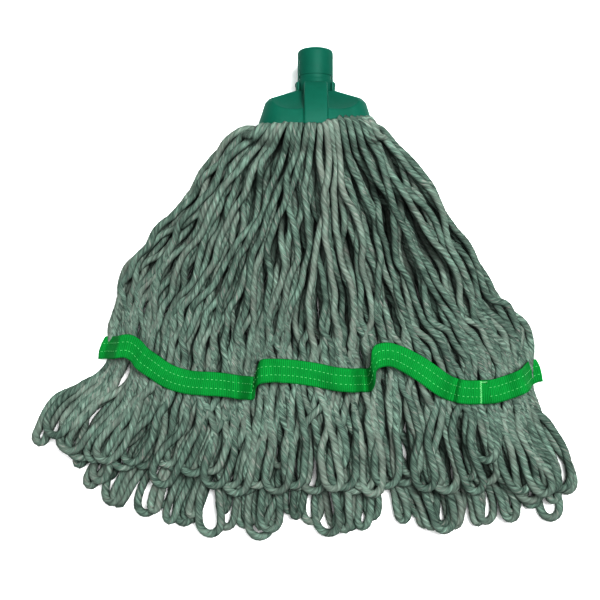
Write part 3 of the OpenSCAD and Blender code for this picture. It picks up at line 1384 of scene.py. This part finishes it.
    def profile(self) -> bpy.types.Object:
        """Section of the yarn: a circle drawn in between the plies.

        Returns:
            A closed curve to bevel with.
        """
        data = bpy.data.curves.new("yarn_section", "CURVE")
        data.dimensions = "2D"
        spline = data.splines.new("POLY")
        spline.points.add(self.sides - 1)
        spline.use_cyclic_u = True
        for i, point in enumerate(spline.points):
            turn = 2 * math.pi * i / self.sides
            away = 1.0 - self.ply_depth * (0.5 - 0.5 * math.cos(self.plies * turn))
            point.co = (away * math.cos(turn), away * math.sin(turn), 0.0, 1.0)
        section = bpy.data.objects.new("yarn_section", data)
        bpy.context.scene.collection.objects.link(section)
        return section

    def tube(self, name: str, strands: list[Strand], section: bpy.types.Object) -> bpy.types.Object:
        """Sweep the section along some loops, turned steadily so that the plies twist.

        Args:
            name: Name of the piece.
            strands: The loops.
            section: The section.

        Returns:
            The piece, a mesh with the attributes that the yarn's material reads.
        """
        data = bpy.data.curves.new(name, "CURVE")
        data.dimensions = "3D"
        data.twist_mode = "MINIMUM"
        data.bevel_mode = "OBJECT"
        data.bevel_object = section
        for strand in strands:
            count = len(strand.line)
            spline = data.splines.new("POLY")
            spline.points.add(count - 1)
            along = arc_lengths(strand.line)
            spline.points.foreach_set("co", np.column_stack([strand.line, np.ones(count)]).ravel())
            spline.points.foreach_set("radius", strand.radius)
            tilt = strand.phase + along * (-2 * math.pi / self.ply_pitch)
            spline.points.foreach_set("tilt", tilt)
        curve = bpy.data.objects.new(name + "_curve", data)
        bpy.context.scene.collection.objects.link(curve)
        graph = bpy.context.evaluated_depsgraph_get()
        mesh = bpy.data.meshes.new_from_object(curve.evaluated_get(graph))
        mesh.name = name
        bpy.data.objects.remove(curve)
        bpy.data.curves.remove(data)
        self.close_ends(mesh)
        self.mark(mesh, strands)
        shade_smooth(mesh)
        return new_object(name, mesh)

    def close_ends(self, mesh: bpy.types.Mesh) -> None:
        """Close the two cut ends of each loop, which lie inside the shell.

        Args:
            mesh: The swept mesh.
        """
        bm = bmesh.new()
        bm.from_mesh(mesh)
        rims = [edge for edge in bm.edges if edge.is_boundary]
        bmesh.ops.holes_fill(bm, edges=rims, sides=0)
        bm.to_mesh(mesh)
        bm.free()

    def mark(self, mesh: bpy.types.Mesh, strands: list[Strand]) -> None:
        """Store where each vertex lies in its yarn.

        Args:
            mesh: The swept mesh, ring by ring.
            strands: The loops, in the order of the rings.
        """
        turn = np.arange(self.sides) * (2 * math.pi / self.sides)
        # Painted ply shading: 1 on the crown of each ply and 0 in the grooves between plies, where
        # the yarn's material paints shade.
        ply_shading = 0.5 + 0.5 * np.cos(self.plies * turn)
        fibre, ply_shadings, tones = [], [], []
        for number, strand in enumerate(strands):
            along = arc_lengths(strand.line)
            rings = len(along)
            shift = 3.1 * strand.phase + 0.7 * number
            fibre.append(np.column_stack([
                np.repeat(along + shift, self.sides),
                np.tile(self.radius * np.cos(turn), rings) + shift,
                np.tile(self.radius * np.sin(turn), rings),
            ]))
            ply_shadings.append(np.tile(ply_shading, rings))
            tones.append(np.full(rings * self.sides, strand.tone))
        total = sum(len(c) for c in ply_shadings)
        if total != len(mesh.vertices):
            raise RuntimeError(f"{mesh.name}: {len(mesh.vertices)} vertices, {total} expected")
        layer = mesh.attributes.new("fibre", "FLOAT_VECTOR", "POINT")
        layer.data.foreach_set("vector", np.concatenate(fibre).astype(np.float32).ravel())
        for name, values in (("ply_shading", ply_shadings), ("tone", tones)):
            layer = mesh.attributes.new(name, "FLOAT", "POINT")
            layer.data.foreach_set("value", np.concatenate(values).astype(np.float32))

    def chosen(self) -> list[Strand]:
        """The loops to build one by one as pieces of their own: the uppermost rows, which go
        furthest.
        """
        ranked = sorted(self.strands, key=lambda strand: -strand.row)
        return ranked[: self.declared]

    def hank_of(self, strand: Strand) -> int:
        """Number, from 0, of the hank that a strand belongs to."""
        return min(self.hanks - 1, strand.column * self.hanks // self.pairs)

    def build(self) -> list[bpy.types.Object]:
        """Make the meshes of all loops and give them their material.

        Returns:
            The pieces.
        """
        material = PliedYarn().build()
        section = self.profile()
        single = self.chosen()
        rest = [strand for strand in self.strands if not any(strand is s for s in single)]
        pieces = []
        for number, strand in enumerate(single, start=1):
            piece = self.tube(f"yarn_loop_{number:02d}", [strand], section)
            dress(piece, material)
            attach(piece, "root")
            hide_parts(f"upper_hank_{1 + self.hank_of(strand)}")
            pieces.append(piece)
        for hank in range(self.hanks):
            members = [strand for strand in rest if self.hank_of(strand) == hank]
            piece = self.tube(f"yarn_hank_{hank + 1}", members, section)
            dress(piece, material)
            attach(piece, "root")
            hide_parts(f"lower_hank_{hank + 1}", f"upper_hank_{hank + 1}")
            pieces.append(piece)
        bpy.data.objects.remove(section)
        coat(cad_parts["yarn_head"], material)
        return pieces


# ---------------------------------------------------------------------------
# Tape and stitching
# ---------------------------------------------------------------------------


@dataclass
class BandBuilder:
    """Makes the tape's mesh and its stitches from the band's plan and the pile's height."""

    band: TailBand
    pile: Heights
    press: float = 0.0022
    stitch_length: float = 0.0025
    stitch_pitch: float = 0.0038
    stitch_radius: float = 0.00030
    # Bare tape before a row's first stitch and after its last one
    row_margin: float = 0.004
    # Share of its height that the tape has at the ends of its top run, and the rest that it
    # gains over the reach
    end_height: tuple[float, float] = (0.44, 0.56)
    end_reach: float = 0.016
    # Half the size of a stitch of the bar tack, their number, and its share of the width
    tack_size: tuple[float, float, float] = (0.0011, 0.00034, 0.0004)
    tack_count: int = 26
    tack_share: float = 0.9
    tack_rise: float = 0.0003
    # The L's foot
    foot_count: int = 8
    foot_pitch: float = 0.0008
    # The tack lies where the tape is higher than this
    top_side_z: float = 0.006

    def top_run(self) -> np.ndarray:
        """The tape's inner face along the top of the pile.

        Returns:
            Rows of x, y and z, from left to right.
        """
        plan = self.band.top_line()
        samples = []
        for share in np.linspace(-0.45, 0.45, 7):
            samples.append(self.pile.read(plan + np.array([0.0, share * self.band.width])))
        high = np.percentile(np.array(samples), 75, axis=0)
        high = blurred(high, 26)
        edge = np.minimum(plan[:, 0] - self.band.side_x[0], self.band.side_x[1] - plan[:, 0])
        high = high * (self.end_height[0] + self.end_height[1] * smooth_step(edge / self.end_reach))
        z = high - self.press - self.band.fold_dip(plan[:, 0])
        return np.column_stack([plan, np.maximum(z, 0.0045)])

    def route(self) -> tuple[np.ndarray, np.ndarray, np.ndarray]:
        """The tape's middle line all the way round, with the way out of its face.

        Returns:
            Points, outward directions and directions across the tape.
        """
        top = self.top_run()
        under = self.band.under_line()
        low = np.column_stack([under, np.full(len(under), self.band.under_z + self.band.thickness)])
        right, left = top[-1], top[0]
        turns = []
        for start, finish, sign in ((right, low[0], 1.0), (low[-1], left, -1.0)):
            t = np.linspace(0, 1, 14)[1:-1]
            middle = 0.5 * (start + finish)
            rise = 0.5 * (start - finish)
            bulge = np.array([sign * max(0.004, abs(rise[2])), 0.0, 0.0])
            angle = t * math.pi
            turns.append(middle + np.outer(np.cos(angle), rise) + np.outer(np.sin(angle), bulge))
        start = int(np.argmin(np.abs(top[:, 0] - (self.band.lap_end_x - self.band.lap))))
        stop = int(np.argmin(np.abs(top[:, 0] - self.band.lap_end_x)))
        line = np.vstack([top[start:], turns[0], low, turns[1], top[: stop + 1]])
        line = respaced(line, self.band.spacing)
        heading = np.gradient(line, axis=0)
        heading /= np.linalg.norm(heading, axis=1, keepdims=True)
        across = self.band.across_at(line[:, 0])
        out = np.cross(heading, across)
        out /= np.linalg.norm(out, axis=1, keepdims=True)
        along = arc_lengths(line)
        lap = smooth_step((along - (along[-1] - self.band.lap - 0.004)) / 0.005)
        line = line + out * (lap * (self.band.thickness + 0.0003))[:, None]
        return line, out, across

    def lid(self) -> Lid:
        """How high strands may reach beneath the tape, and beside it on a slope.

        Returns:
            Both limits on the pile's grid.
        """
        line, out, across = self.route()
        above = out[:, 2] > 0.05
        field_now = np.full(self.pile.shape, 9.0)
        for side in np.linspace(-0.5, 0.5, 27) * self.band.width:
            points = line[above] + across[above] * side
            points = points + out[above] * self.face_offset(side)
            np.minimum.at(field_now, self.pile.cells(points), points[:, 2])
        steps = [(i, j, math.hypot(i, j)) for i in (-1, 0, 1) for j in (-1, 0, 1) if i or j]
        hard = field_now
        for reach in range(80):
            rise = 0.0 if reach < 3 else 0.00034
            lowest = field_now.copy()
            for i, j, size in steps:
                lowest = np.minimum(lowest, np.roll(field_now, (i, j), (0, 1)) + rise * size)
            field_now = lowest
            if reach == 2:
                hard = field_now.copy()
        return Lid(hard, field_now)

    def face_offset(self, side: float) -> float:
        """How far the tape's crowned face lies out from its middle line.

        Args:
            side: Distance from the middle of the tape.

        Returns:
            The distance, in metres.
        """
        return 0.0007 * (1 - (2 * side / self.band.width) ** 2) - 0.0006

    def ripple(self, along: float, side: float) -> float:
        """Slow waves in the tape's face.

        Args:
            along: Distance along the tape.
            side: Distance from the middle of the tape.

        Returns:
            The distance outwards, in metres.
        """
        j = side / self.band.width
        wave = 0.0005 * math.sin(along / 0.013 + 5.0 * j)
        return wave + 0.0003 * math.sin(along / 0.0045 + 2.2 * j) * (2 * abs(j)) ** 2

    def build(self) -> list[bpy.types.Object]:
        """Build the tape, both rows of stitches and the bar tack.

        Returns:
            The pieces.
        """
        coarse = self.route()
        distance = arc_lengths(coarse[0])
        count = int(distance[-1] / self.band.fine_spacing)
        along = np.linspace(0.0, distance[-1], count)
        line, out, across = (
            np.stack([np.interp(along, distance, column) for column in rows.T], axis=1)
            for rows in coarse
        )
        out /= np.linalg.norm(out, axis=1, keepdims=True)
        across /= np.linalg.norm(across, axis=1, keepdims=True)
        cells = self.band.cells_across
        bm = bmesh.new()
        bmesh.ops.create_grid(bm, x_segments=len(line) - 1, y_segments=cells, size=1.0)
        bm.verts.ensure_lookup_table()
        uv = bm.loops.layers.uv.new("tape")
        places = {}
        for vert in bm.verts:
            i = int(round((vert.co.x + 1) / 2 * (len(line) - 1)))
            side = vert.co.y / 2 * self.band.width
            rib = 0.5 - 0.5 * math.cos(2 * math.pi * along[i] / self.band.rib_pitch)
            rise = self.face_offset(side) + self.ripple(along[i], side)
            rise += self.band.rib_height * (rib - 1)
            place = line[i] + across[i] * side + out[i] * rise
            vert.co = Vector(place)
            places[vert.index] = (along[i], side)
        for face in bm.faces:
            for loop in face.loops:
                loop[uv].uv = places[loop.vert.index]
        bmesh.ops.solidify(bm, geom=bm.faces[:], thickness=-self.band.thickness)
        bmesh.ops.recalc_face_normals(bm, faces=bm.faces[:])
        mesh = meshed(bm, "tail_band_tape")
        shade_smooth(mesh)
        tape = new_object("tail_band_tape", mesh)
        dress(tape, RibbedTape().build())
        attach(tape, "root")
        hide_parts("tail_band")
        thread = SewingThread().build()
        rows = []
        for which, side in (("upper", 1.0), ("lower", -1.0)):
            places = self.row_places(line, out, across, along, side * self.band.row_offset)
            rows.append(self.stitches(f"stitches_{which}", places, thread, f"stitch_row_{which}"))
        places = self.tack_places(line, out, across)
        rows.append(self.stitches("bar_tack_stitches", places, thread, "bar_tack"))
        return [tape, *rows]

    def row_places(
        self, line: np.ndarray, out: np.ndarray, across: np.ndarray, along: np.ndarray, side: float
    ) -> list[Matrix]:
        """Where each stitch of a row lies.

        Args:
            line: The tape's middle line.
            out: Outward directions.
            across: Directions across it.
            along: Distances along it.
            side: The row's distance from the middle.

        Returns:
            A placing matrix for each stitch.
        """
        found = []
        size = (self.stitch_length / 2, self.stitch_radius, self.stitch_radius)
        for place in np.arange(self.row_margin, along[-1] - self.row_margin, self.stitch_pitch):
            i = int(np.searchsorted(along, place))
            heading = line[min(i + 1, len(line) - 1)] - line[max(i - 1, 0)]
            heading /= np.linalg.norm(heading)
            centre = line[i] + across[i] * side + out[i] * (
                self.face_offset(side) + self.ripple(along[i], side) + self.band.thickness
            )
            found.append(self.placed(centre, (heading, across[i], out[i]), size))
        return found

    @staticmethod
    def placed(
        centre: np.ndarray, ways: tuple[np.ndarray, ...], size: tuple[float, float, float]
    ) -> Matrix:
        """Matrix that turns a unit ball into a stitch.

        Args:
            centre: The stitch's centre.
            ways: Its direction, the one across it and the outward one.
            size: Half its size in each.

        Returns:
            The matrix.
        """
        basis = Matrix(np.column_stack(ways).tolist()).to_4x4()
        return Matrix.Translation(Vector(centre)) @ basis @ Matrix.Diagonal((*size, 1.0))

    def tack_places(self, line: np.ndarray, out: np.ndarray, across: np.ndarray) -> list[Matrix]:
        """Where each stitch of the bar tack lies.

        Args:
            line: The tape's middle line.
            out: Outward directions.
            across: Directions across it.

        Returns:
            A placing matrix for each stitch.
        """
        found = []
        on_top = line[:, 2] > self.top_side_z
        near = np.where(on_top, np.abs(line[:, 0] - self.band.tack_x), math.inf)
        near[: len(line) // 2] = math.inf
        i = int(np.argmin(near))
        along = arc_lengths(line)
        last = self.tack_count - 1
        marks = [(i, k / last - 0.5, 0.25 if k % 2 else -0.25) for k in range(self.tack_count)]
        for k in range(1, self.foot_count + 1):
            goal = along[i] + self.foot_pitch * k
            place = min(len(line) - 2, int(np.searchsorted(along, goal)))
            marks.append((place, 0.46, 1.6))
        for place, share, slant in marks:
            side = share * self.tack_share * self.band.width
            way = line[place + 1] - line[place - 1]
            way = way / np.linalg.norm(way) + slant * across[place]
            way /= np.linalg.norm(way)
            rise = self.face_offset(side) + self.ripple(along[place], side)
            rise += self.band.thickness + self.tack_rise
            centre = line[place] + across[place] * side + out[place] * rise
            ways = (way, np.cross(out[place], way), out[place])
            found.append(self.placed(centre, ways, self.tack_size))
        return found

    def stitches(
        self, name: str, places: list[Matrix], material: bpy.types.Material, node: str
    ) -> bpy.types.Object:
        """Make one stitch at each place, as one piece.

        Args:
            name: Name of the piece.
            places: A placing matrix for each stitch.
            material: The thread's material.
            node: CAD node that it replaces.

        Returns:
            The piece.
        """
        bm = bmesh.new()
        for place in places:
            bmesh.ops.create_icosphere(bm, subdivisions=1, radius=1.0, matrix=place)
        bmesh.ops.recalc_face_normals(bm, faces=bm.faces[:])
        mesh = meshed(bm, name)
        shade_smooth(mesh)
        piece = new_object(name, mesh)
        dress(piece, material)
        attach(piece, "root")
        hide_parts(node)
        return piece


# ---------------------------------------------------------------------------
# Studio
# ---------------------------------------------------------------------------


@dataclass
class Studio:
    """Table, soft lights and a camera that looks straight down."""

    middle: tuple[float, float] = (-0.0127, -0.0047)
    distance: float = 0.766
    plane_z: float = 0.030
    view_width: float = 0.498
    sensor_width: float = 36.0
    exposure: float = 0.50
    gamma: float = 0.62
    table_half: float = 6.0
    daylight: float = 0.19
    # Name, place, side of the square face and power of each lamp
    lamps: tuple[tuple[str, tuple[float, float, float], float, float], ...] = (
        ("key", (0.45, 0.42, 1.40), 0.60, 26.0),
        ("fill", (-0.85, -0.10, 1.2), 0.9, 6.0),
        ("head", (-0.05, 0.10, 1.7), 0.5, 9.0),
    )

    def build(self) -> None:
        """Build the studio."""
        scene = bpy.context.scene
        scene.view_settings.view_transform = "Standard"
        scene.view_settings.exposure = self.exposure
        scene.view_settings.gamma = self.gamma
        camera = bpy.data.cameras.new("camera")
        camera.sensor_width = self.sensor_width
        camera.lens = camera.sensor_width * self.distance / self.view_width
        eye = bpy.data.objects.new("camera", camera)
        eye.location = (*self.middle, self.plane_z + self.distance)
        scene.collection.objects.link(eye)
        scene.camera = eye
        bm = bmesh.new()
        bmesh.ops.create_grid(bm, x_segments=1, y_segments=1, size=self.table_half)
        table = new_object("table", meshed(bm, "table"))
        coat(table, TablePaint().build())
        for lamp in self.lamps:
            self.lamp(*lamp)
        world = bpy.data.worlds.new("studio")
        world.use_nodes = True
        sky = world.node_tree.nodes["Background"]
        sky.inputs["Color"].default_value = (1.0, 1.0, 1.0, 1.0)
        sky.inputs["Strength"].default_value = self.daylight
        scene.world = world

    def lamp(self, name: str, place: tuple[float, float, float], size: float, power: float) -> None:
        """Add a soft lamp aimed at the mop.

        Args:
            name: Name of the lamp.
            place: Where it stands.
            size: Side of its square face.
            power: Its power in watts.
        """
        light = bpy.data.lights.new(name, "AREA")
        light.size = size
        light.energy = power
        lamp = bpy.data.objects.new(name, light)
        lamp.location = place
        lamp.rotation_mode = "QUATERNION"
        lamp.rotation_quaternion = (Vector((0, 0, 0)) - Vector(place)).to_track_quat("-Z", "Y")
        bpy.context.scene.collection.objects.link(lamp)


def dress_hidden_nodes() -> None:
    """Give the CAD nodes inside the shell their materials."""
    steel, thread = ZincSteel().build(), SewingThread("tie_thread").build()
    plastic = MouldedPlastic("insert_plastic", (0.004, 0.15, 0.09), (0.002, 0.11, 0.07)).build()
    for node, material in (
        ("yarn_bar", steel), ("binding_cord", thread), ("retaining_insert", plastic),
    ):
        coat(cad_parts[node], material)


def log_pieces(pieces: list[bpy.types.Object]) -> None:
    """Log each piece with its number of faces."""
    for piece in pieces:
        LOG.info("%s: %d faces", piece.name, len(piece.data.polygons))


def main() -> None:
    """Build the mop head and its studio."""
    logging.basicConfig(level=logging.INFO, format="%(name)s: %(message)s")
    Studio().build()
    log_pieces(MouldedHead().build())
    band = TailBand()
    yarn = YarnPile()
    pile = yarn.build_lines(band)
    LOG.info("pile height %.1f mm at the band", 1000 * pile.read(band.top_line()).max())
    yarn.squash()
    tape = BandBuilder(band, pile)
    yarn.press_under(band, tape.lid())
    yarn.finish_lines()
    log_pieces(yarn.build())
    log_pieces(tape.build())
    dress_hidden_nodes()


if __name__ == "__main__":
    main()
